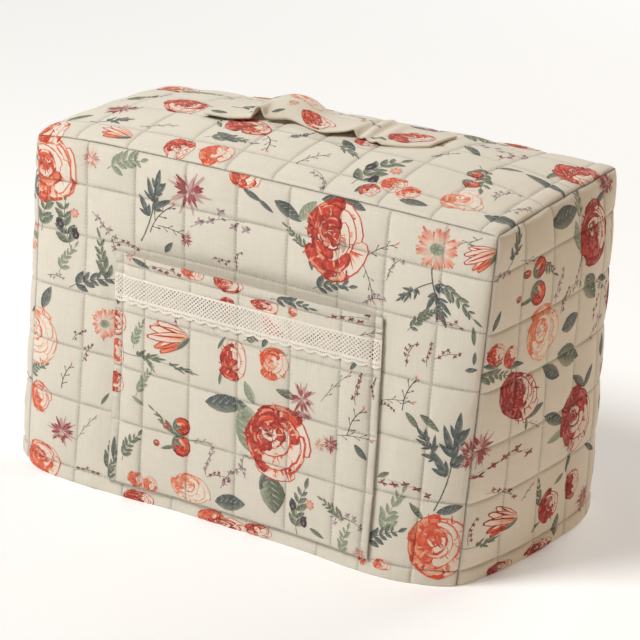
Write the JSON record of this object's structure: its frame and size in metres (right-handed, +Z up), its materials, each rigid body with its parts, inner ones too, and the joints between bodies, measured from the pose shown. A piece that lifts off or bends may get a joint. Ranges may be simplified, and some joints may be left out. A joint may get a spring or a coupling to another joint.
{
  "type": "sewing machine cover",
  "caption": "Soft quilted cotton box cover for a sewing machine, open below, with a lace-edged patch pocket on the front and a folded carrying band on top.",
  "frame": {"origin": "centre of the bounding box at the height of the hem, which stands on the floor", "axes": "+Z up, the front with the pocket looks along -Y, +X runs to the right as seen from the front, along the length"},
  "size_m": [0.4714, 0.2596, 0.3346],
  "materials": {
    "quilted_cotton": "matt printed plain-weave cotton over soft wadding",
    "band_cotton": "matt printed plain-weave cotton",
    "cotton_lace": "matt knotted cotton"
  },
  "bodies": {
    "root": {"panel_front": "quilted_cotton", "panel_end_right": "quilted_cotton", "panel_back": "quilted_cotton", "panel_end_left": "quilted_cotton", "panel_top": "quilted_cotton", "pocket": "quilted_cotton", "lace_trim": "cotton_lace", "handle_band": "band_cotton"}
  },
  "joints": []
}
